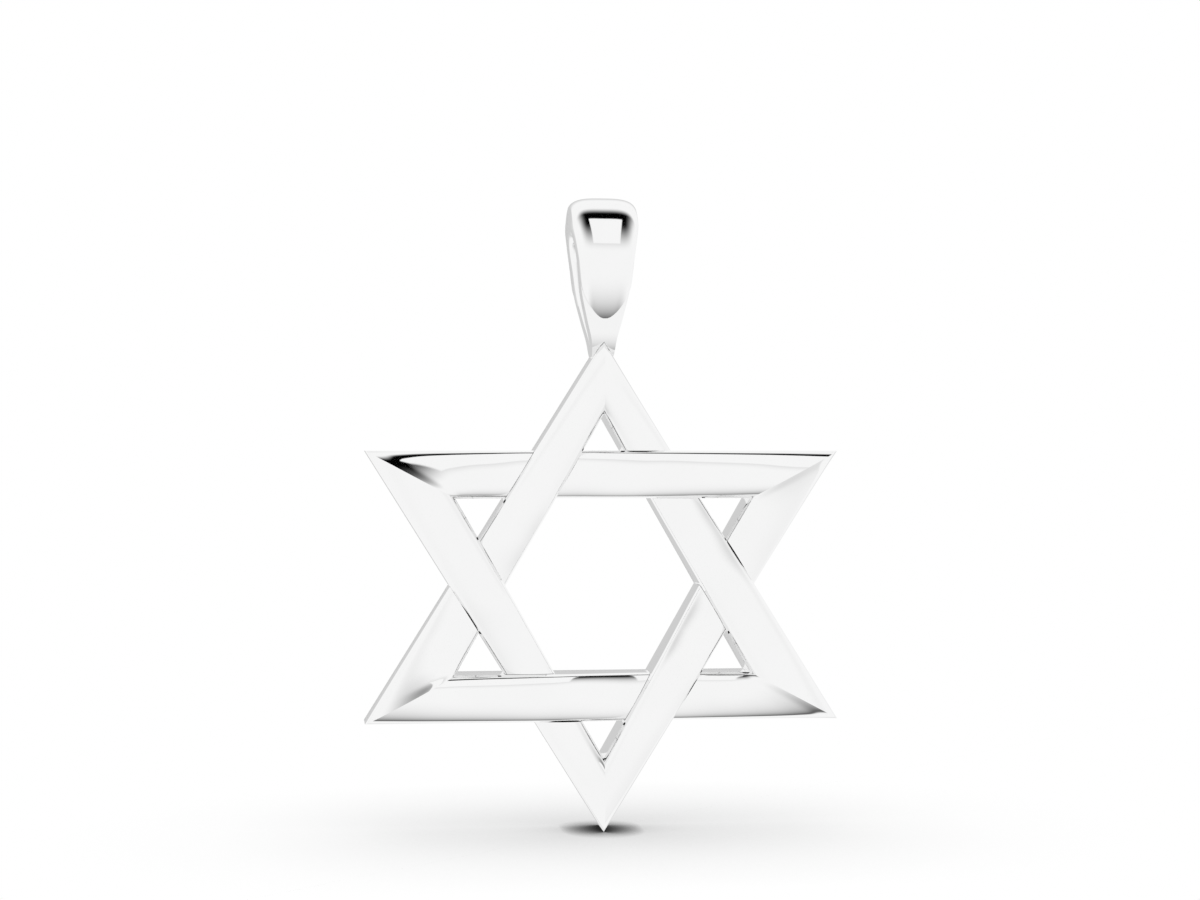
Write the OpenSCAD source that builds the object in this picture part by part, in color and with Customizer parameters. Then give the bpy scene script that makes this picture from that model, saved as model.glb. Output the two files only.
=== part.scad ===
// Star pendant of two interlaced triangles on a tapered bail.
// The front faces -Y and +Z is up. The origin is the chain's seat, at the top of the bail's eye.
// Bars are worked out as seen from the front, in X and Z, about the middle of the star.

/* [Star] */
// Width of the star between its side corners
star_width = 20; // [18:0.1:23]
// Height of the top tip above the middle of the star
tip_height = 10.33; // [9.8:0.01:12]
// Height of the side corners above or below the middle of the star
corner_height = 5.69; // [5.2:0.01:6.4]
// Depth of the straight walls, from the flat back to the edge of the dome
wall_depth = 2.05; // [1.7:0.01:2.4]

/* [Bars] */
// Width of a level bar
level_bar_width = 2; // [1.6:0.01:2.4]
// Width of a slanted bar at the star's tip
slant_tip_width = 1.53; // [1.3:0.01:1.9]
// Width of a slanted bar at the star's side corner
slant_corner_width = 2.28; // [1.9:0.01:2.6]
// Rise of the dome above the walls at a corner of the star
corner_rise = 0.48; // [0.3:0.01:0.7]
// Rise of the dome above the walls where bars cross
crossing_rise = 0.24; // [0.15:0.01:0.5]
// Dip of a bar where it passes under another
under_dip = 0.4; // [0.1:0.01:0.5]
// Width of the steep rim beside the dome on a level bar, in the same share on the others
rim_width = 0.05; // [0.03:0.01:0.15]
// Depth of the rim, from the edge of the dome to the wall
rim_depth = 0.1; // [0.06:0.01:0.3]

/* [Seams] */
// Gap between two pieces where they meet
seam_gap = 0.04; // [0.03:0.01:0.08]

/* [Bail] */
// Width of the bail at its top
bail_width = 2.77; // [2.3:0.01:3.4]
// Width of the bail at its foot
foot_width = 0.92; // [0.8:0.01:1.1]
// Depth of the bail's foot plate where the strap narrows to its tongue
plate_depth = 3.3; // [3:0.01:3.4]
// Depth that the foot plate tapers to at its foot, before it is rounded
foot_depth = 1.87; // [1.6:0.01:2.2]
// Inset of the rounded foot at the front and at the back
foot_inset = 0.55; // [0.4:0.01:0.7]
// Height of the rounding at the foot
foot_round = 1; // [0.8:0.01:1.2]
// Depth of the strap's side faces at its shoulder
strap_depth = 3.64; // [3.4:0.01:4.4]
// Rise of the strap's dome above its side faces
strap_rise = 0.5; // [0.35:0.01:0.65]
// Drop from the strap's shoulder to the low end of its side faces
lobe_drop = 2.45; // [2.1:0.01:2.9]
// Drop from the strap's shoulder to the place where its low end narrows to a tongue
tongue_drop = 0.85; // [0.6:0.01:1.1]
// Height of the tongue
tongue_height = 1.53; // [1.3:0.01:1.8]
// Height of the metal above the eye
crown_height = 1.63; // [1.3:0.01:2]
// Drop from the top of the eye to the strap's shoulder
shoulder_drop = 1.15; // [0.9:0.01:1.5]
// Reach of the bail's foot down past the star's tip
foot_lap = 0.83; // [0.6:0.01:1]

/* [Eye] */
// Height of the eye
eye_height = 4.67; // [4:0.01:5.5]
// Width of the eye, from front to back
eye_width = 1.7; // [1.3:0.01:2]
// Depth of the eye's point below the star's tip
eye_dip = 0.25; // [0:0.01:0.35]

/* [Hidden] */

// Steps along a bar, across a dome, round a quarter of the strap, round a foot, up the bail
// and round its eye
bar_steps = 20;
dome_steps = 14;
strap_steps = 10;
foot_steps = 8;
outline_steps = 24;
eye_steps = 24;

// Angle at which the dome starts, past the side of the oval that it is part of
dome_start = 6;

star_drop = eye_height - eye_dip + tip_height;
tip_z = eye_dip - eye_height;
foot_z = tip_z - foot_lap;
shoulder_z = -shoulder_drop;
tongue_z = shoulder_z - tongue_drop;
side_top_z = crown_height - strap_rise;
eye_radius = eye_width / 2;
rim_share = rim_width / level_bar_width;
cut_reach = star_width;

// Relief along a bar, from the end that runs over to the end that runs under:
// share of the bar, share of the under dip, share of the way from crossing rise to corner rise
BAR_RELIEF = [
    [0.00, 0.00, 1.00],
    [0.12, 0.00, 0.60],
    [0.25, 0.00, 0.35],
    [0.36, 0.00, 0.15],
    [0.50, 0.50, 0.00],
    [0.64, 1.00, 0.00],
    [0.80, 0.80, 0.35],
    [0.90, 0.61, 0.65],
    [0.96, 0.37, 0.88],
    [1.00, 0.00, 1.00]
];

// Width up the bail: share of its height from the foot, share of the way from foot width to full width
BAIL_WIDTHS = [
    [0.00, 0.00],
    [0.08, 0.05],
    [0.23, 0.31],
    [0.41, 0.60],
    [0.58, 0.74],
    [0.72, 0.89],
    [0.83, 1.00],
    [1.00, 1.00]
];

// Squareness of the strap's dome across its width, as the power of a superellipse
strap_power = 3.5;

// Spare width of the strap before it is cut to the bail's outline
side_spare = 0.04;

// Smooth curve through a table, read at a share of its first column
function step_slope(rows, i, column) =
    (rows[i + 1][column] - rows[i][column]) / (rows[i + 1][0] - rows[i][0]);
function mean_slope(a, b) = a * b <= 0 ? 0 : 2 * a * b / (a + b);
function row_slope(rows, i, column) =
    i == 0 ? step_slope(rows, 0, column)
    : i == len(rows) - 1 ? step_slope(rows, i - 1, column)
    : mean_slope(step_slope(rows, i - 1, column), step_slope(rows, i, column));
function row_before(rows, share) =
    max([for (i = [0:len(rows) - 2]) if (i == 0 || rows[i][0] <= share) i]);
function table_value(rows, share, column) =
    let (i = row_before(rows, share),
         step = rows[i + 1][0] - rows[i][0],
         u = (share - rows[i][0]) / step,
         rest = 1 - u)
    rows[i][column] * (1 + 2 * u) * rest * rest
    + rows[i + 1][column] * (3 - 2 * u) * u * u
    + step * u * rest * (row_slope(rows, i, column) * rest - row_slope(rows, i + 1, column) * u);

function between(a, b, share) = a + (b - a) * share;
function unit(v) = v / norm(v);

// Normal to the right of a direction, which points out of a shape drawn anticlockwise
function outward(v) = [unit(v)[1], -unit(v)[0]];

// Corner b of the path a, b, c with both its edges moved outward by a distance
function moved_corner(a, b, c, distance) =
    let (n = outward(b - a), m = outward(c - b))
    b + distance * (n + m) / (1 + n * m);
function moved_shape(points, distance) =
    let (count = len(points))
    [for (i = [0:count - 1])
        moved_corner(points[(i + count - 1) % count], points[i], points[(i + 1) % count], distance)];

// Corners of the triangle that points up, as top, left and right
half_width = star_width / 2;
OUTER = [[0, tip_height], [-half_width, -corner_height], [half_width, -corner_height]];

// The opening's slanted edge, from a point beside the top to a point beside the left corner
slant_in = -outward(OUTER[1] - OUTER[0]);
edge_top = OUTER[0] + slant_in * slant_tip_width;
edge_low = OUTER[1] + slant_in * slant_corner_width;
edge_slope = (edge_top[0] - edge_low[0]) / (edge_top[1] - edge_low[1]);
opening_tip = edge_top[1] - edge_top[0] / edge_slope;
opening_floor = level_bar_width - corner_height;
opening_half = edge_slope * (opening_tip - opening_floor);
OPENING = [[0, opening_tip], [-opening_half, opening_floor], [opening_half, opening_floor]];

// Section across a bar at a share of its length, as points from the outer back edge to the inner one
function bar_ring(outer, opening, bar, share, grow) =
    let (o = between(outer[bar], outer[(bar + 1) % 3], share),
         i = between(opening[bar], opening[(bar + 1) % 3], share),
         back = wall_depth / 2 + grow,
         edge = -back + under_dip * table_value(BAR_RELIEF, share, 1),
         rise = between(crossing_rise, corner_rise, table_value(BAR_RELIEF, share, 2)))
    concat(
        [for (y = [back, edge + rim_depth]) [o[0], y, o[1]]],
        [for (k = [0:dome_steps])
            let (turn = between(dome_start, 180 - dome_start, k / dome_steps),
                 across = (1 - cos(turn) / cos(dome_start)) / 2,
                 lift = (sin(turn) - sin(dome_start)) / (1 - sin(dome_start)),
                 p = between(o, i, between(rim_share, 1 - rim_share, across)))
            [p[0], edge - rise * lift, p[1]]],
        [for (y = [edge + rim_depth, back]) [i[0], y, i[1]]]);

// One whole triangle about the middle of the star, with every face moved outward by grow
module triangle_ring(grow = 0) {
    outer = moved_shape(OUTER, grow);
    opening = moved_shape(OPENING, -grow);
    rings = [for (bar = [0:2], step = [0:bar_steps - 1])
        bar_ring(outer, opening, bar, (1 - cos(180 * step / bar_steps)) / 2, grow)];
    count = len(rings);
    size = dome_steps + 5;
    faces = [for (r = [0:count - 1], p = [0:size - 1])
        let (a = r * size, b = ((r + 1) % count) * size, q = (p + 1) % size)
        each [[a + p, a + q, b + q], [a + p, b + q, b + p]]];
    polyhedron(points = [for (ring = rings, point = ring) point], faces = faces, convexity = 6);
}

// Plan of one half of a bar with its long edges moved outward by the seam gap
module half_bar_plan(bar, from, to) {
    outer = moved_shape(OUTER, seam_gap);
    opening = moved_shape(OPENING, -seam_gap);
    next = (bar + 1) % 3;
    polygon([
        between(outer[bar], outer[next], from),
        between(outer[bar], outer[next], to),
        between(opening[bar], opening[next], to),
        between(opening[bar], opening[next], from)]);
}

// Room for the other triangle's bars: in front of the ones that it runs under, behind the others
module lap_pockets() {
    for (bar = [0:2]) {
        translate([0, seam_gap / 2, 0])
            rotate([90, 0, 0])
                linear_extrude(height = cut_reach)
                    half_bar_plan(bar, 0, 0.5);
        translate([0, cut_reach - seam_gap / 2, 0])
            rotate([90, 0, 0])
                linear_extrude(height = cut_reach)
                    half_bar_plan(bar, 0.5, 1);
    }
}

module woven_triangle() {
    difference() {
        triangle_ring();
        rotate([0, 180, 0])
            lap_pockets();
    }
}

module up_triangle() {
    color("silver")
        translate([0, 0, -star_drop])
            woven_triangle();
}

module down_triangle() {
    color("silver")
        translate([0, 0, -star_drop])
            rotate([0, 180, 0])
                woven_triangle();
}

// Half of the bail's width at a height
function bail_half(z) =
    let (share = min(1, max(0, (z - foot_z) / (crown_height - foot_z))))
    between(foot_width, bail_width, table_value(BAIL_WIDTHS, share, 1)) / 2;

// Section across the strap, from side to side. The turn goes round the side of the bail:
// -90 is its low end, 0 its front shoulder, 90 its crown and 180 its back shoulder.
function strap_section(turn) =
    let (reach = turn < 0 || turn > 180 ? lobe_drop : side_top_z - shoulder_z,
         depth = strap_depth / 2,
         edge = [-depth * cos(turn), shoulder_z + reach * sin(turn)],
         normal = unit([-cos(turn) / depth, sin(turn) / reach]),
         half = bail_half(edge[1]) + side_spare)
    [for (step = [0:dome_steps])
        let (across = sin(180 * step / dome_steps - 90),
             lift = strap_rise * sqrt(1 - pow(abs(across), strap_power)))
        [half * across, edge[0] + normal[0] * lift, edge[1] + normal[1] * lift]];

// Domed strap that is an oval as seen from the side
module strap() {
    count = 4 * strap_steps;
    size = dome_steps + 1;
    skin = [for (k = [0:count - 1], p = [0:dome_steps - 1])
        let (a = k * size + p, b = ((k + 1) % count) * size + p)
        each [[a, b, b + 1], [a, b + 1, a + 1]]];
    sides = [for (k = [0:count / 2 - 1], p = [0, dome_steps])
        let (a = k * size + p,
             b = (k + 1) * size + p,
             c = (count - k - 1) * size + p,
             d = ((count - k) % count) * size + p,
             face = k == 0 ? [a, c, b] : k == count / 2 - 1 ? [a, d, b] : [a, d, c, b])
        p == 0 ? face : [for (i = [len(face) - 1:-1:0]) face[i]]];
    polyhedron(
        points = [for (k = [0:count - 1]) each strap_section(90 * k / strap_steps - 90)],
        faces = concat(skin, sides),
        convexity = 4);
}

// Outline of the strap as seen from the front: as wide as may be, then a round tongue below
module tongue_plan() {
    steps = outline_steps / 2;
    tip = [for (k = [0:steps])
        let (turn = 90 * k / steps, z = tongue_z - tongue_height * cos(turn))
        [bail_half(z) * sin(turn), z]];
    right = concat(tip, [[bail_width, tongue_z], [bail_width, cut_reach]]);
    polygon(concat(right, [for (k = [len(right) - 1:-1:1]) [-right[k][0], right[k][1]]]));
}

// Outline of the foot plate from the side: it widens from a rounded foot up into the strap
module plate_plan() {
    back = concat(
        [for (k = [0:foot_steps])
            let (turn = 90 * k / foot_steps,
                 up = foot_round * (1 - cos(turn)),
                 depth = between(foot_depth, plate_depth, up / (tongue_z - foot_z)))
            [depth / 2 - foot_inset * (1 - sin(turn)), foot_z + up]],
        [for (z = [tongue_z, shoulder_z]) [plate_depth / 2, z]]);
    polygon(concat(back, [for (k = [len(back) - 1:-1:0]) [-back[k][0], back[k][1]]]));
}

// Solid with a plan of width and height, through the whole depth
module through_depth() {
    rotate([90, 0, 0])
        linear_extrude(height = cut_reach, center = true)
            children();
}

// Solid with a plan of depth and height, through the whole width of the bail
module through_width() {
    rotate([90, 0, 90])
        linear_extrude(height = 2 * bail_width, center = true)
            children();
}

// Outline of the bail as seen from the front
module bail_plan() {
    heights = [for (k = [0:outline_steps]) between(foot_z, crown_height, k / outline_steps)];
    polygon(concat(
        [for (z = heights) [bail_half(z), z]],
        [for (k = [outline_steps:-1:0]) [-bail_half(heights[k]), heights[k]]]));
}

module bail_body() {
    intersection() {
        union() {
            intersection() {
                strap();
                through_depth()
                    tongue_plan();
            }
            through_width()
                plate_plan();
        }
        through_depth()
            bail_plan();
    }
}

// Eye for the chain: round at the top, with straight sides that meet in a point below
module eye_plan() {
    centre = -eye_radius;
    flank = acos(eye_radius / (eye_height - eye_radius));
    polygon(concat(
        [[0, -eye_height]],
        [for (k = [0:eye_steps])
            let (turn = between(-90 + flank, 270 - flank, k / eye_steps))
            [eye_radius * cos(turn), centre + eye_radius * sin(turn)]]));
}

module bail() {
    color("silver")
        difference() {
            bail_body();
            through_width()
                eye_plan();
            translate([0, 0, -star_drop])
                triangle_ring(grow = seam_gap);
        }
}

up_triangle();
down_triangle();
bail();
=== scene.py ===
"""Star pendant of two interlaced triangles on a tapered bail, in polished silver on a pale floor.

The front faces -Y and +Z is up. The origin is the chain's seat, at the top of the bail's eye.
"""

import logging
import math
from dataclasses import dataclass
from enum import Enum

import bmesh
import bpy
from mathutils import Matrix, Vector


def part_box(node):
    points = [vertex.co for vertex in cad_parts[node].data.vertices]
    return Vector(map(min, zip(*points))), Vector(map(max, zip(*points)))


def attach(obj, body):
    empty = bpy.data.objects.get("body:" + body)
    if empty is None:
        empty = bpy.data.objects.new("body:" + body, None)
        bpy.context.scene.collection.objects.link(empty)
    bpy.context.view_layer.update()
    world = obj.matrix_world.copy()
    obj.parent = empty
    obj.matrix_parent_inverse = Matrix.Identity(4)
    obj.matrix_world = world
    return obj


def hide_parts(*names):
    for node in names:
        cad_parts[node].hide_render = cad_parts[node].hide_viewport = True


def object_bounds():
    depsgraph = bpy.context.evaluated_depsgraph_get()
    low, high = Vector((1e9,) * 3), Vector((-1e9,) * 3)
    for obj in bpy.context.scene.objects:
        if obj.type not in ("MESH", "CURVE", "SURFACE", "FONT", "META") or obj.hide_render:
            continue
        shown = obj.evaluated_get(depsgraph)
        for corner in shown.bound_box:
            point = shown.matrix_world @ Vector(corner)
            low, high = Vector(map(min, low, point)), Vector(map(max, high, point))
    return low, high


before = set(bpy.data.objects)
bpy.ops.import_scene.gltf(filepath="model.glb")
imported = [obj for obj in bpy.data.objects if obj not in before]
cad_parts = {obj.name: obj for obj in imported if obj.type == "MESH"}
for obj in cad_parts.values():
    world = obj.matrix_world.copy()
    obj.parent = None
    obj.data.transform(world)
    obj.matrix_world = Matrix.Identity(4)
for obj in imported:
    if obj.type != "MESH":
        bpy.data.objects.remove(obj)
CAD_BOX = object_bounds()

MM = 0.001
BODY = "root"
SHORTEST_EDGE = 1e-4 * MM

log = logging.getLogger("pendant")


@dataclass(frozen=True)
class Curve:
    """Smooth curve through rows of a share and a value, with no overshoot between them."""

    rows: tuple[tuple[float, float], ...]

    def step_slope(self, i: int) -> float:
        """Slope of the straight line from row i to the next."""
        (a, low), (b, high) = self.rows[i], self.rows[i + 1]
        return (high - low) / (b - a)

    def row_slope(self, i: int) -> float:
        """Slope of the curve at row i."""
        last = len(self.rows) - 1
        if i in (0, last):
            return self.step_slope(min(i, last - 1))
        before, after = self.step_slope(i - 1), self.step_slope(i)
        return 0.0 if before * after <= 0 else 2 * before * after / (before + after)

    def at(self, share: float) -> float:
        """Value of the curve at a share.

        Args:
            share: Place along the first column, from 0 to 1.

        Returns:
            The value there.
        """
        i = max((k for k in range(len(self.rows) - 1) if self.rows[k][0] <= share), default=0)
        (a, low), (b, high) = self.rows[i], self.rows[i + 1]
        step = b - a
        u = (share - a) / step
        rest = 1 - u
        ends = low * (1 + 2 * u) * rest * rest + high * (3 - 2 * u) * u * u
        return ends + step * u * rest * (self.row_slope(i) * rest - self.row_slope(i + 1) * u)


# Along a bar, from the end that runs over to the end that runs under
UNDER_DIP = Curve((
    (0.00, 0.00), (0.12, 0.00), (0.25, 0.00), (0.36, 0.00), (0.50, 0.50),
    (0.64, 1.00), (0.80, 0.80), (0.90, 0.61), (0.96, 0.37), (1.00, 0.00)))
CORNER_RISE = Curve((
    (0.00, 1.00), (0.12, 0.60), (0.25, 0.35), (0.36, 0.15), (0.50, 0.00),
    (0.64, 0.00), (0.80, 0.35), (0.90, 0.65), (0.96, 0.88), (1.00, 1.00)))

# Up the bail, from its foot to its top
BAIL_WIDTH = Curve((
    (0.00, 0.00), (0.08, 0.05), (0.23, 0.31), (0.41, 0.60),
    (0.58, 0.74), (0.72, 0.89), (0.83, 1.00), (1.00, 1.00)))


def between(a: Vector, b: Vector, share: float) -> Vector:
    """Point at a share of the way from a to b."""
    return a + (b - a) * share


def outward(v: Vector) -> Vector:
    """Unit normal to the right of a direction in plan, out of a shape drawn anticlockwise."""
    return Vector((v.y, -v.x)).normalized()


def moved_outline(points: list[Vector], distance: float) -> list[Vector]:
    """Outline with each edge moved outward.

    Args:
        points: Corners in plan, anticlockwise.
        distance: How far each edge moves, inward where it is below zero.

    Returns:
        The new corners, in the same order.
    """
    moved = []
    for i, corner in enumerate(points):
        n = outward(corner - points[i - 1])
        m = outward(points[(i + 1) % len(points)] - corner)
        moved.append(corner + (n + m) * (distance / (1 + n.dot(m))))
    return moved


def wire(bm: bmesh.types.BMesh, points: list[Vector], closed: bool = True) -> list[bmesh.types.BMEdge]:
    """Edges through points, in order.

    Args:
        bm: Mesh that takes them.
        points: Places of the vertices.
        closed: Whether the last point joins the first.

    Returns:
        The new edges.
    """
    verts = [bm.verts.new(p) for p in points]
    ends = verts[1:] + verts[:1] if closed else verts[1:]
    return [bm.edges.new(pair) for pair in zip(verts, ends)]


def piece_from(bm: bmesh.types.BMesh, name: str) -> bpy.types.Object:
    """Object of a finished bmesh, smooth shaded, with its place in its mesh."""
    bmesh.ops.recalc_face_normals(bm, faces=bm.faces)
    for face in bm.faces:
        face.smooth = True
    mesh = bpy.data.meshes.new(name)
    bm.to_mesh(mesh)
    bm.free()
    obj = bpy.data.objects.new(name, mesh)
    bpy.context.scene.collection.objects.link(obj)
    return obj


class Joining(Enum):
    """Way that one solid is worked into another."""

    CUT = "DIFFERENCE"
    FUSE = "UNION"
    TRIM = "INTERSECT"


def combine(target: bpy.types.Object, tool: bpy.types.Object, joining: Joining) -> None:
    """Works one object's form into another and removes it.

    Args:
        target: Object that is changed.
        tool: Object that is cut away, fused on or trimmed to.
        joining: Which of these it is.
    """
    step = target.modifiers.new("combine", "BOOLEAN")
    step.operation = joining.value
    step.solver = "EXACT"
    step.object = tool
    graph = bpy.context.evaluated_depsgraph_get()
    mesh = bpy.data.meshes.new_from_object(target.evaluated_get(graph), depsgraph=graph)
    target.modifiers.clear()
    old = target.data
    target.data = mesh
    mesh.name = old.name
    bpy.data.meshes.remove(old)
    bpy.data.objects.remove(tool)


def sharpen(obj: bpy.types.Object, angle: float) -> None:
    """Keeps edges crisp where the faces beside them turn by more than an angle."""
    bm = bmesh.new()
    bm.from_mesh(obj.data)
    bmesh.ops.dissolve_degenerate(bm, edges=bm.edges, dist=SHORTEST_EDGE)
    for edge in bm.edges:
        if len(edge.link_faces) == 2 and edge.calc_face_angle() > angle:
            edge.smooth = False
    bm.to_mesh(obj.data)
    bm.free()


def raise_outline(bm: bmesh.types.BMesh, points: list[Vector], way: Vector) -> None:
    """Adds a straight solid.

    Args:
        bm: Mesh that takes it.
        points: Flat outline that it starts from.
        way: How far and which way it runs from there.
    """
    floor = bmesh.ops.contextual_create(bm, geom=wire(bm, points))["faces"]
    raised = bmesh.ops.extrude_face_region(bm, geom=floor)["geom"]
    bmesh.ops.translate(bm, verts=[v for v in raised if isinstance(v, bmesh.types.BMVert)], vec=way)


def close_side(bm: bmesh.types.BMesh, rim: list[bmesh.types.BMEdge], x: float) -> None:
    """Runs an open rim out along X and closes it there.

    Args:
        bm: Mesh with the rim.
        rim: Edges of the rim.
        x: Place along X of the flat side that closes it.
    """
    grown = bmesh.ops.extrude_edge_only(bm, edges=rim)["geom"]
    for vert in (v for v in grown if isinstance(v, bmesh.types.BMVert)):
        vert.co.x = x
    bmesh.ops.contextual_create(bm, geom=[e for e in grown if isinstance(e, bmesh.types.BMEdge)])


def prism(outline: list[Vector], axis: str, reach: float, name: str) -> bpy.types.Object:
    """Straight solid through a flat outline, the same length to both sides of the middle.

    Args:
        outline: Points in order, as X and Z for axis Y or as Y and Z for axis X.
        axis: X or Y, the way that it runs.
        reach: Half of its length.
        name: The object's name.

    Returns:
        The solid.
    """
    bm = bmesh.new()
    if axis == "Y":
        raise_outline(bm, [Vector((p.x, -reach, p.y)) for p in outline], Vector((0.0, 2 * reach, 0.0)))
    else:
        raise_outline(bm, [Vector((-reach, p.x, p.y)) for p in outline], Vector((2 * reach, 0.0, 0.0)))
    return piece_from(bm, name)


class Term:
    """A number socket of a node tree, with arithmetic that adds Math nodes."""

    def __init__(self, graph: "Graph", socket: bpy.types.NodeSocket) -> None:
        """Wraps an output socket of a graph."""
        self.graph = graph
        self.socket = socket

    def math(self, operation: str, *values: "Term | float") -> "Term":
        """Result of a Math node on these values."""
        inputs = dict(enumerate(values))
        return self.graph.term("ShaderNodeMath", {"operation": operation}, inputs, "Value")

    def __add__(self, other: "Term | float") -> "Term":
        """Sum."""
        return self.math("ADD", self, other)

    def __sub__(self, other: "Term | float") -> "Term":
        """Difference."""
        return self.math("SUBTRACT", self, other)

    def __rsub__(self, other: float) -> "Term":
        """Difference, with the number first."""
        return self.math("SUBTRACT", other, self)

    def __mul__(self, other: "Term | float") -> "Term":
        """Product."""
        return self.math("MULTIPLY", self, other)

    def __neg__(self) -> "Term":
        """Negative."""
        return self.math("MULTIPLY", self, -1.0)

    def power(self, exponent: float) -> "Term":
        """This value to a power."""
        return self.math("POWER", self, exponent)

    def distance(self, centre: float) -> "Term":
        """Distance of this value from a centre."""
        return self.math("ABSOLUTE", self - centre)

    def rise(self, start: float, end: float, interpolation: str = "SMOOTHSTEP") -> "Term":
        """0 before start and 1 past end, smooth between them; start may be above end."""
        low, high = min(start, end), max(start, end)
        step = self.graph.term(
            "ShaderNodeMapRange",
            {"interpolation_type": interpolation},
            {"Value": self, "From Min": low, "From Max": high},
            "Result")
        return step if start < end else 1.0 - step

    def ramp(self, start: float, end: float) -> "Term":
        """0 before start and 1 past end, straight between them; start may be above end."""
        return self.rise(start, end, "LINEAR")


class Graph:
    """Node tree of a material or world, with one method that adds any node."""

    def __init__(self, owner: bpy.types.Material | bpy.types.World) -> None:
        """Clears the owner's node tree."""
        owner.use_nodes = True
        self.tree = owner.node_tree
        self.tree.nodes.clear()

    def node(self, kind: str, settings: dict, inputs: dict) -> bpy.types.Node:
        """Adds a node.

        Args:
            kind: The node's type.
            settings: Its own settings, set before its sockets.
            inputs: Socket names or numbers, with a value, a Term or another node's socket.

        Returns:
            The node.
        """
        node = self.tree.nodes.new(kind)
        for name, value in settings.items():
            setattr(node, name, value)
        for name, value in inputs.items():
            if isinstance(value, Term):
                value = value.socket
            if isinstance(value, bpy.types.NodeSocket):
                self.tree.links.new(value, node.inputs[name])
            else:
                node.inputs[name].default_value = value
        return node

    def term(self, kind: str, settings: dict, inputs: dict, output: str) -> Term:
        """Adds a node and wraps one of its outputs."""
        return Term(self, self.node(kind, settings, inputs).outputs[output])


@dataclass(frozen=True)
class PolishedSilver:
    """Mirror-polished silver with a faint trace of the polishing wheel."""

    colour: tuple[float, float, float] = (0.93, 0.93, 0.93)
    shade: float = 0.03
    roughness: float = 0.035
    roughness_spread: float = 0.03
    wear_scale: float = 420.0
    wear_detail: float = 3.0
    scratch_scale: float = 2600.0
    scratch_detail: float = 2.0
    scratch_turn: tuple[float, float, float] = (0.3, 0.4, 0.9)
    scratch_stretch: float = 12.0
    scratch_strength: float = 0.01
    scratch_depth: float = 0.01 * MM

    def material(self) -> bpy.types.Material:
        """Builds the material."""
        material = bpy.data.materials.new("polished silver")
        graph = Graph(material)
        place = graph.node("ShaderNodeTexCoord", {}, {}).outputs["Object"]
        wear = graph.term(
            "ShaderNodeTexNoise", {},
            {"Vector": place, "Scale": self.wear_scale, "Detail": self.wear_detail}, "Fac")
        strokes = graph.node(
            "ShaderNodeMapping", {},
            {"Vector": place, "Rotation": self.scratch_turn, "Scale": (1.0, self.scratch_stretch, 1.0)})
        scratch = graph.term(
            "ShaderNodeTexNoise", {},
            {
                "Vector": strokes.outputs["Vector"],
                "Scale": self.scratch_scale,
                "Detail": self.scratch_detail,
            }, "Fac")
        bump = graph.node(
            "ShaderNodeBump", {},
            {"Height": scratch, "Strength": self.scratch_strength, "Distance": self.scratch_depth})
        low = tuple(c - self.shade for c in self.colour)
        tint = graph.node(
            "ShaderNodeMix", {"data_type": "RGBA"},
            {"Factor": wear, "A": (*low, 1.0), "B": (*self.colour, 1.0)})
        shader = graph.node(
            "ShaderNodeBsdfPrincipled", {},
            {
                "Base Color": next(s for s in tint.outputs if s.type == "RGBA"),
                "Metallic": 1.0,
                "Roughness": wear * self.roughness_spread + self.roughness,
                "Normal": bump.outputs["Normal"],
            })
        graph.node("ShaderNodeOutputMaterial", {}, {"Surface": shader.outputs["BSDF"]})
        return material


def finish_piece(obj: bpy.types.Object, material: bpy.types.Material, node: str) -> None:
    """Dresses a piece and lets it stand for its CAD node.

    Args:
        obj: The finished piece.
        material: Its finish.
        node: Name of the node that it replaces.
    """
    obj.data.materials.clear()
    obj.data.materials.append(material)
    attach(obj, BODY)
    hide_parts(node)
    log.info("%s: %d faces", obj.name, len(obj.data.polygons))


class Pointing(Enum):
    """Way that a triangle of the star points."""

    UP = "up"
    DOWN = "down"


@dataclass(frozen=True)
class StarSizes:
    """Sizes of the star in metres."""

    half_width: float
    tip_height: float
    corner_height: float
    wall_depth: float
    middle_z: float
    level_bar: float = 2.0 * MM
    slant_tip: float = 1.53 * MM
    slant_corner: float = 2.28 * MM
    corner_rise: float = 0.48 * MM
    crossing_rise: float = 0.24 * MM
    under_dip: float = 0.4 * MM
    rim_width: float = 0.05 * MM
    rim_depth: float = 0.1 * MM
    dome_start: float = math.radians(6)
    edge_round: float = 0.05 * MM
    seam: float = 0.008 * MM

    @classmethod
    def from_frame(cls) -> "StarSizes":
        """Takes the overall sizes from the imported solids."""
        up_low, up_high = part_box("up_triangle")
        down_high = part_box("down_triangle")[1]
        middle = (up_low[2] + down_high[2]) / 2
        return cls(
            half_width=up_high[0],
            tip_height=up_high[2] - middle,
            corner_height=middle - up_low[2],
            wall_depth=2 * up_high[1],
            middle_z=middle)

    def outer(self) -> list[Vector]:
        """Corners of the triangle that points up, as top, left and right, in X and Z."""
        return [
            Vector((0.0, self.tip_height)),
            Vector((-self.half_width, -self.corner_height)),
            Vector((self.half_width, -self.corner_height))]

    def opening(self) -> list[Vector]:
        """Corners of that triangle's opening, in the same order."""
        top, left, _ = self.outer()
        inward = -outward(left - top)
        high = top + inward * self.slant_tip
        low = left + inward * self.slant_corner
        slope = (high.x - low.x) / (high.y - low.y)
        tip = high.y - high.x / slope
        floor = self.level_bar - self.corner_height
        half = slope * (tip - floor)
        return [Vector((0.0, tip)), Vector((-half, floor)), Vector((half, floor))]


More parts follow.
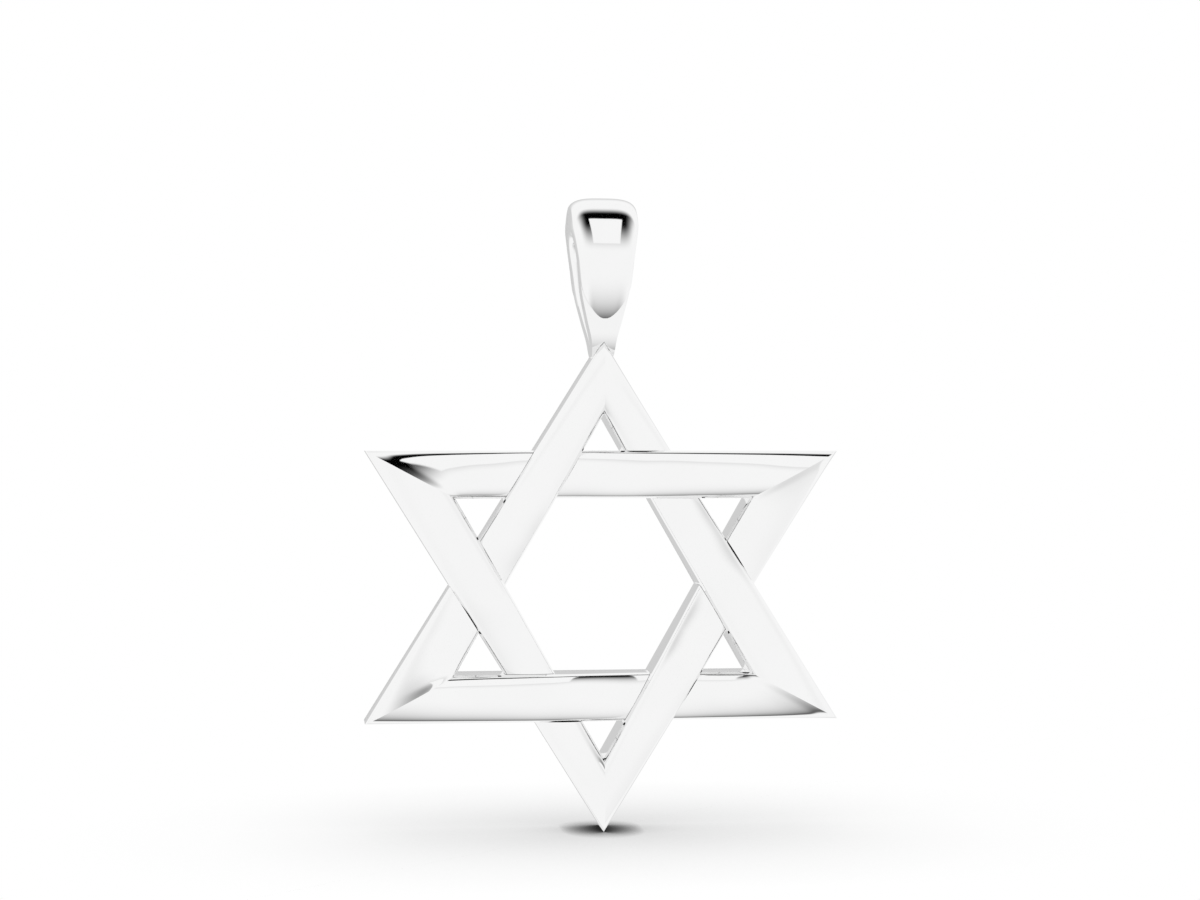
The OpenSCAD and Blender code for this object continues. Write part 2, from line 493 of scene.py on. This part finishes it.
@dataclass(frozen=True)
class WovenTriangle:
    """One triangle of the star: flat back, straight walls and a domed front that weaves."""

    sizes: StarSizes
    pointing: Pointing
    bar_steps: int = 64
    dome_steps: int = 48
    round_steps: int = 6
    crease_angle: float = math.radians(18)
    over_span: tuple[float, float] = (0.12, 0.48)
    under_span: tuple[float, float] = (0.52, 0.88)

    def section(self, bar: int, share: float, grow: float) -> list[Vector]:
        """Closed section across a bar of the triangle that points up.

        Args:
            bar: 0 for the left bar, 1 for the level one, 2 for the right one.
            share: Place along the bar, from its over end to its under end.
            grow: How far every face is moved outward.

        Returns:
            Points from the outer back edge over the dome to the inner back edge.
        """
        s = self.sizes
        outline = moved_outline(s.outer(), grow)
        opening = moved_outline(s.opening(), -grow)
        after = (bar + 1) % 3
        o = between(outline[bar], outline[after], share)
        i = between(opening[bar], opening[after], share)
        back = s.wall_depth / 2 + grow
        edge = -back + s.under_dip * UNDER_DIP.at(share)
        rise = s.crossing_rise + (s.corner_rise - s.crossing_rise) * CORNER_RISE.at(share)
        inset, rim = s.edge_round / s.level_bar, s.rim_width / s.level_bar
        start_lift = math.sin(s.dome_start)
        wall, dome = [], []
        for k in range(self.round_steps + 1):
            turn = math.pi / 2 * k / self.round_steps
            wall.append((inset * (1 - math.sin(turn)), back - s.edge_round * (1 - math.cos(turn))))
        wall.append((0.0, edge + s.rim_depth))
        for k in range(self.dome_steps + 1):
            turn = s.dome_start + (math.pi - 2 * s.dome_start) * k / self.dome_steps
            across = (1 - math.cos(turn) / math.cos(s.dome_start)) / 2
            lift = (math.sin(turn) - start_lift) / (1 - start_lift)
            dome.append((rim + (1 - 2 * rim) * across, edge - rise * lift))
        inner_wall = [(1 - across, y) for across, y in reversed(wall)]
        points = []
        for across, y in wall + dome + inner_wall:
            p = between(o, i, across)
            points.append(Vector((p.x, y, p.y)))
        return points

    def ring(self, grow: float = 0.0) -> bmesh.types.BMesh:
        """The whole triangle, pointing up, about the middle of the star."""
        bm = bmesh.new()
        loops, mitres = [], []
        for bar in range(3):
            for step in range(self.bar_steps):
                share = (1 - math.cos(math.pi * step / self.bar_steps)) / 2
                edges = wire(bm, self.section(bar, share, grow))
                loops.append(edges)
                if step == 0:
                    mitres.extend(edges)
        for edges, following in zip(loops, loops[1:] + loops[:1]):
            bmesh.ops.bridge_loops(bm, edges=edges + following)
        for edge in mitres:
            edge.smooth = False
        return bm

    def lap_pockets(self) -> bmesh.types.BMesh:
        """Room that this triangle's bars take from the other one, about the middle of the star."""
        s = self.sizes
        outline = moved_outline(s.outer(), s.seam)
        opening = moved_outline(s.opening(), -s.seam)
        reach = 2 * s.wall_depth
        halves = ((self.over_span, s.seam / 2, -reach), (self.under_span, -s.seam / 2, reach))
        bm = bmesh.new()
        for bar in range(3):
            after = (bar + 1) % 3
            for (start, end), near, far in halves:
                plan = [
                    between(outline[bar], outline[after], start),
                    between(outline[bar], outline[after], end),
                    between(opening[bar], opening[after], end),
                    between(opening[bar], opening[after], start)]
                raise_outline(
                    bm, [Vector((p.x, near, p.y)) for p in plan], Vector((0.0, far - near, 0.0)))
        return bm

    def place(self, bm: bmesh.types.BMesh, pointing: Pointing) -> None:
        """Turns a form about the middle of the star and moves it to its place."""
        if pointing is Pointing.DOWN:
            turn = Matrix.Rotation(math.pi, 3, "Y")
            bmesh.ops.rotate(bm, verts=bm.verts, cent=(0.0, 0.0, 0.0), matrix=turn)
        bmesh.ops.translate(bm, verts=bm.verts, vec=(0.0, 0.0, self.sizes.middle_z))

    def whole(self, name: str, grow: float) -> bpy.types.Object:
        """The uncut triangle in its place, moved outward by grow."""
        bm = self.ring(grow)
        self.place(bm, self.pointing)
        return piece_from(bm, name)

    def build(self, material: bpy.types.Material) -> bpy.types.Object:
        """Builds the triangle, cut where it laps with the other one.

        Args:
            material: The finish.

        Returns:
            The piece.
        """
        other = Pointing.DOWN if self.pointing is Pointing.UP else Pointing.UP
        piece = self.whole(f"{self.pointing.value}_triangle_silver", 0.0)
        pockets = self.lap_pockets()
        self.place(pockets, other)
        combine(piece, piece_from(pockets, "pockets"), Joining.CUT)
        sharpen(piece, self.crease_angle)
        finish_piece(piece, material, f"{self.pointing.value}_triangle")
        return piece


@dataclass(frozen=True)
class Bail:
    """Tapered bail: a domed oval strap whose low end is a tongue on a foot plate, with a pointed eye."""

    star: WovenTriangle
    width: float
    crown_height: float
    foot_z: float
    foot_width: float = 0.92 * MM
    plate_depth: float = 3.3 * MM
    foot_depth: float = 1.87 * MM
    foot_inset: float = 0.55 * MM
    foot_round: float = 1.0 * MM
    strap_depth: float = 3.64 * MM
    strap_rise: float = 0.5 * MM
    strap_power: float = 3.5
    lobe_drop: float = 2.45 * MM
    shoulder_drop: float = 1.15 * MM
    tongue_drop: float = 0.85 * MM
    tongue_height: float = 1.53 * MM
    side_spare: float = 0.04 * MM
    eye_height: float = 4.67 * MM
    eye_radius: float = 0.85 * MM
    strap_steps: int = 36
    dome_steps: int = 48
    outline_steps: int = 48
    round_steps: int = 24
    eye_steps: int = 64
    flank_steps: int = 20
    rim_round: float = 0.25 * MM
    rim_steps: int = 6
    rim_sweep: float = math.radians(80)
    rim_spare: float = 0.125 * MM
    crease_angle: float = math.radians(32)
    seam: float = 0.008 * MM

    @classmethod
    def from_frame(cls, star: WovenTriangle) -> "Bail":
        """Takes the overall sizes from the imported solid."""
        low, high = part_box("bail")
        return cls(star=star, width=2 * high[0], crown_height=high[2], foot_z=low[2])

    def half(self, z: float) -> float:
        """Half of the bail's width at a height."""
        share = min(1.0, max(0.0, (z - self.foot_z) / (self.crown_height - self.foot_z)))
        return (self.foot_width + (self.width - self.foot_width) * BAIL_WIDTH.at(share)) / 2

    def strap_section(self, turn: float) -> list[Vector]:
        """Section across the strap, from side to side.

        Args:
            turn: Way round the bail's side in radians: 0 is the front shoulder, a quarter
                turn the crown and three quarters the low end.

        Returns:
            Points over the dome.
        """
        side_top = self.crown_height - self.strap_rise
        reach = self.lobe_drop if math.sin(turn) < 0 else side_top + self.shoulder_drop
        depth = self.strap_depth / 2
        edge = Vector((-depth * math.cos(turn), reach * math.sin(turn) - self.shoulder_drop))
        normal = Vector((-math.cos(turn) / depth, math.sin(turn) / reach)).normalized()
        half = self.half(edge.y) + self.side_spare
        points = []
        for step in range(self.dome_steps + 1):
            across = math.sin(math.pi * step / self.dome_steps - math.pi / 2)
            lift = math.sqrt(max(0.0, 1 - abs(across) ** self.strap_power))
            p = edge + normal * (self.strap_rise * lift)
            points.append(Vector((half * across, p.x, p.y)))
        return points

    def strap(self) -> bpy.types.Object:
        """The strap, run out past both sides of the outline that it is trimmed to."""
        bm = bmesh.new()
        count = 4 * self.strap_steps
        loops = [wire(bm, self.strap_section(2 * math.pi * k / count), closed=False) for k in range(count)]
        for edges, following in zip(loops, loops[1:] + loops[:1]):
            bmesh.ops.bridge_loops(bm, edges=edges + following)
        rims = [e for e in bm.edges if e.is_boundary]
        for side in (-1, 1):
            close_side(bm, [e for e in rims if e.verts[0].co.x * side > 0], side * self.width)
        return piece_from(bm, "bail_silver")

    def tongue(self) -> bpy.types.Object:
        """Solid that the strap is trimmed to, so that its low end is a round tongue."""
        start = -self.shoulder_drop - self.tongue_drop
        wide, top = self.width, 2 * self.crown_height
        right = []
        for k in range(self.outline_steps):
            turn = math.pi / 2 * k / self.outline_steps
            z = start - self.tongue_height * math.cos(turn)
            right.append(Vector((self.half(z) * math.sin(turn), z)))
        right += [Vector((self.half(start), start)), Vector((wide, start)), Vector((wide, top))]
        left = [Vector((-p.x, p.y)) for p in reversed(right[1:])]
        return prism(right + left, "Y", 2 * self.strap_depth, "tongue")

    def foot_plate(self) -> bpy.types.Object:
        """The plate from its rounded foot up into the strap."""
        slant_top = -self.shoulder_drop - self.tongue_drop
        back = []
        for k in range(self.round_steps + 1):
            turn = math.pi / 2 * k / self.round_steps
            up = self.foot_round * (1 - math.cos(turn))
            depth = self.foot_depth + (self.plate_depth - self.foot_depth) * up / (slant_top - self.foot_z)
            back.append(Vector((depth / 2 - self.foot_inset * (1 - math.sin(turn)), self.foot_z + up)))
        back += [Vector((self.plate_depth / 2, z)) for z in (slant_top, -self.shoulder_drop)]
        front = [Vector((-p.x, p.y)) for p in reversed(back)]
        return prism(back + front, "X", self.width, "foot_plate")

    def front_outline(self) -> bpy.types.Object:
        """Solid that the bail is trimmed to, from the front."""
        reach = self.crown_height - self.foot_z
        heights = [self.foot_z + reach * k / self.outline_steps for k in range(self.outline_steps + 1)]
        right = [Vector((self.half(z), z)) for z in heights]
        left = [Vector((-p.x, p.y)) for p in reversed(right)]
        return prism(right + left, "Y", 2 * self.strap_depth, "bail_outline")

    def eye_outline(self, flare: float) -> list[Vector]:
        """Outline of the eye from the side, as depth and height.

        Args:
            flare: How far its round top is moved outward; its flanks follow, down to the point.

        Returns:
            Points from the point below, up the back, over the top and down the front.
        """
        radius = self.eye_radius
        flank = math.acos(radius / (self.eye_height - radius))
        wide = radius + flare
        arc = []
        for k in range(self.eye_steps + 1):
            turn = flank - math.pi / 2 + (2 * math.pi - 2 * flank) * k / self.eye_steps
            arc.append(Vector((wide * math.cos(turn), wide * math.sin(turn) - radius)))
        point = Vector((0.0, -self.eye_height))
        shares = [k / self.flank_steps for k in range(self.flank_steps)]
        back = [between(point, arc[0], share) for share in shares]
        front = [between(arc[-1], point, share) for share in shares[1:]]
        return back + arc + front

    def eye(self) -> bpy.types.Object:
        """Solid of the eye, flared at both ends so that its rims come out rounded."""
        rings = [(0.0, -self.rim_round)]
        for k in range(1, self.rim_steps + 1):
            turn = self.rim_sweep * k / self.rim_steps
            rings.append((self.rim_round * (1 - math.cos(turn)), self.rim_round * (math.sin(turn) - 1)))
        (flare, out), (flare_before, out_before) = rings[-1], rings[-2]
        reach = self.rim_spare / (out - out_before)
        rings.append((flare + (flare - flare_before) * reach, out + (out - out_before) * reach))
        bm = bmesh.new()
        loops = []
        for side, order in ((-1, reversed(rings)), (1, rings)):
            for flare, out in order:
                loops.append(wire(bm, [
                    Vector((side * (self.half(p.y) + out), p.x, p.y)) for p in self.eye_outline(flare)]))
        for edges, following in zip(loops, loops[1:]):
            bmesh.ops.bridge_loops(bm, edges=edges + following)
        for edges, side in ((loops[0], -1), (loops[-1], 1)):
            close_side(bm, edges, side * self.width)
        return piece_from(bm, "bail_eye")

    def build(self, material: bpy.types.Material) -> bpy.types.Object:
        """Builds the bail with its foot astride the star's tip.

        Args:
            material: The finish.

        Returns:
            The piece.
        """
        piece = self.strap()
        combine(piece, self.tongue(), Joining.TRIM)
        combine(piece, self.foot_plate(), Joining.FUSE)
        combine(piece, self.front_outline(), Joining.TRIM)
        combine(piece, self.eye(), Joining.CUT)
        combine(piece, self.star.whole("star_tip", self.seam), Joining.CUT)
        sharpen(piece, self.crease_angle)
        finish_piece(piece, material, "bail")
        return piece


@dataclass(frozen=True)
class StudioSky:
    """White studio with a dark ceiling panel, a window in it and a dark patch straight below.

    Angles are in degrees round the X axis: 0 is the front horizon, 90 is overhead. Distances
    aside are along X, as parts of a unit direction.
    """

    centre: float = 0.095
    window_low: float = 29.0
    window_high: float = 74.0
    window_half: float = 0.179
    window_blur: float = 1.0
    window_side_blur: float = 0.015
    lid_low: tuple[float, float] = (16.0, 64.0)
    lid_high: tuple[float, float] = (104.0, 86.0)
    lid_aside: tuple[float, float] = (0.84, 0.26)
    below_front: tuple[float, float] = (-10.0, -90.0)
    below_back: tuple[float, float] = (-102.0, -93.0)
    below_power: float = 2.2
    below_depth: float = 0.86
    back_depth: tuple[float, float] = (0.7, 1.0)
    back_light: float = 0.64
    echo_depth: tuple[float, float] = (2.2, 2.8)
    echo_light: float = 0.95

    def build(self) -> None:
        """Makes it the scene's world."""
        world = bpy.data.worlds.new("studio")
        bpy.context.scene.world = world
        graph = Graph(world)
        way = graph.node("ShaderNodeTexCoord", {}, {}).outputs["Generated"]
        axes = graph.node("ShaderNodeSeparateXYZ", {}, {"Vector": way})
        x, y, z = (Term(graph, axes.outputs[name]) for name in "XYZ")
        height = z.math("ARCTAN2", z, -y) * math.degrees(1.0)
        aside = x.distance(self.centre)
        window = (
            height.rise(self.window_low - self.window_blur, self.window_low + self.window_blur)
            * height.rise(self.window_high + self.window_blur, self.window_high - self.window_blur)
            * aside.rise(self.window_half + self.window_side_blur, self.window_half - self.window_side_blur))
        across = aside.rise(*self.lid_aside)
        lid = height.rise(*self.lid_low) * height.rise(*self.lid_high) * across
        near_below = height.ramp(*self.below_front).power(self.below_power)
        below = near_below * height.rise(*self.below_back) * across
        back = 1.0 - y.rise(*self.back_depth) * (1.0 - self.back_light)
        light = back * (1.0 - lid * (1.0 - window)) * (1.0 - below * self.below_depth)
        path = graph.node("ShaderNodeLightPath", {}, {})
        glossy = Term(graph, path.outputs["Is Glossy Ray"])
        echo = Term(graph, path.outputs["Ray Depth"]).rise(*self.echo_depth)
        level = glossy * (light + echo * (self.echo_light - light)) + (1.0 - glossy)
        shade = graph.node("ShaderNodeBackground", {}, {"Color": (1.0, 1.0, 1.0, 1.0), "Strength": level})
        graph.node("ShaderNodeOutputWorld", {}, {"Surface": shade.outputs["Background"]})


@dataclass(frozen=True)
class PaleFloor:
    """White glowing floor just under the star's lowest tip, with a painted shadow: its glow is darkened
    where the pendant is close.
    """

    half_size: float = 3.0
    clearance: float = 0.01 * MM
    shadow_reach: float = 14 * MM
    shadow_power: float = 0.72
    core_reach: float = 1.5 * MM
    core_power: float = 2.2
    shade_samples: int = 16

    def material(self) -> bpy.types.Material:
        """White glow with a painted shadow, darkened by ambient occlusion under what stands close to it."""
        material = bpy.data.materials.new("pale floor with a painted shadow")
        graph = Graph(material)
        settings = {"samples": self.shade_samples}
        # Painted shadow: two ambient occlusion reaches, a broad one and a tight core, dim the floor's glow
        # near the pendant in place of a cast shadow.
        near, close = (
            graph.term("ShaderNodeAmbientOcclusion", settings, {"Distance": reach}, "AO")
            for reach in (self.shadow_reach, self.core_reach))
        shade = near.power(self.shadow_power) * close.power(self.core_power)
        glow = graph.node(
            "ShaderNodeEmission", {},
            {"Color": (1.0, 1.0, 1.0, 1.0), "Strength": shade})
        graph.node("ShaderNodeOutputMaterial", {}, {"Surface": glow.outputs["Emission"]})
        return material

    def build(self) -> bpy.types.Object:
        """Lays the floor."""
        level = CAD_BOX[0][2] - self.clearance
        bm = bmesh.new()
        bmesh.ops.create_grid(bm, x_segments=1, y_segments=1, size=self.half_size)
        bmesh.ops.translate(bm, verts=bm.verts, vec=(0.0, 0.0, level))
        floor = piece_from(bm, "pale_floor")
        floor.data.materials.append(self.material())
        floor.visible_glossy = False
        return floor


@dataclass(frozen=True)
class StudioCamera:
    """Camera at the photograph's place, level and turned a little to the right."""

    place: tuple[float, float, float] = (-12.15 * MM, -101.1 * MM, -9.03 * MM)
    turn: float = 0.1191
    lens: float = 72.0
    sensor: float = 36.0
    clip: tuple[float, float] = (1 * MM, 20.0)

    def build(self) -> bpy.types.Object:
        """Sets it as the scene's camera."""
        data = bpy.data.cameras.new("camera")
        data.lens = self.lens
        data.sensor_width = self.sensor
        data.clip_start, data.clip_end = self.clip
        camera = bpy.data.objects.new("camera", data)
        camera.location = self.place
        camera.rotation_euler = (math.pi / 2, 0.0, -self.turn)
        bpy.context.scene.collection.objects.link(camera)
        bpy.context.scene.camera = camera
        return camera


def main() -> None:
    """Builds the pendant and its studio."""
    logging.basicConfig(level=logging.INFO, format="%(name)s %(message)s")
    bpy.context.scene.view_settings.view_transform = "Standard"
    StudioCamera().build()
    StudioSky().build()
    PaleFloor().build()
    silver = PolishedSilver().material()
    sizes = StarSizes.from_frame()
    up = WovenTriangle(sizes, Pointing.UP)
    up.build(silver)
    WovenTriangle(sizes, Pointing.DOWN).build(silver)
    Bail.from_frame(up).build(silver)


if __name__ == "__main__":
    main()
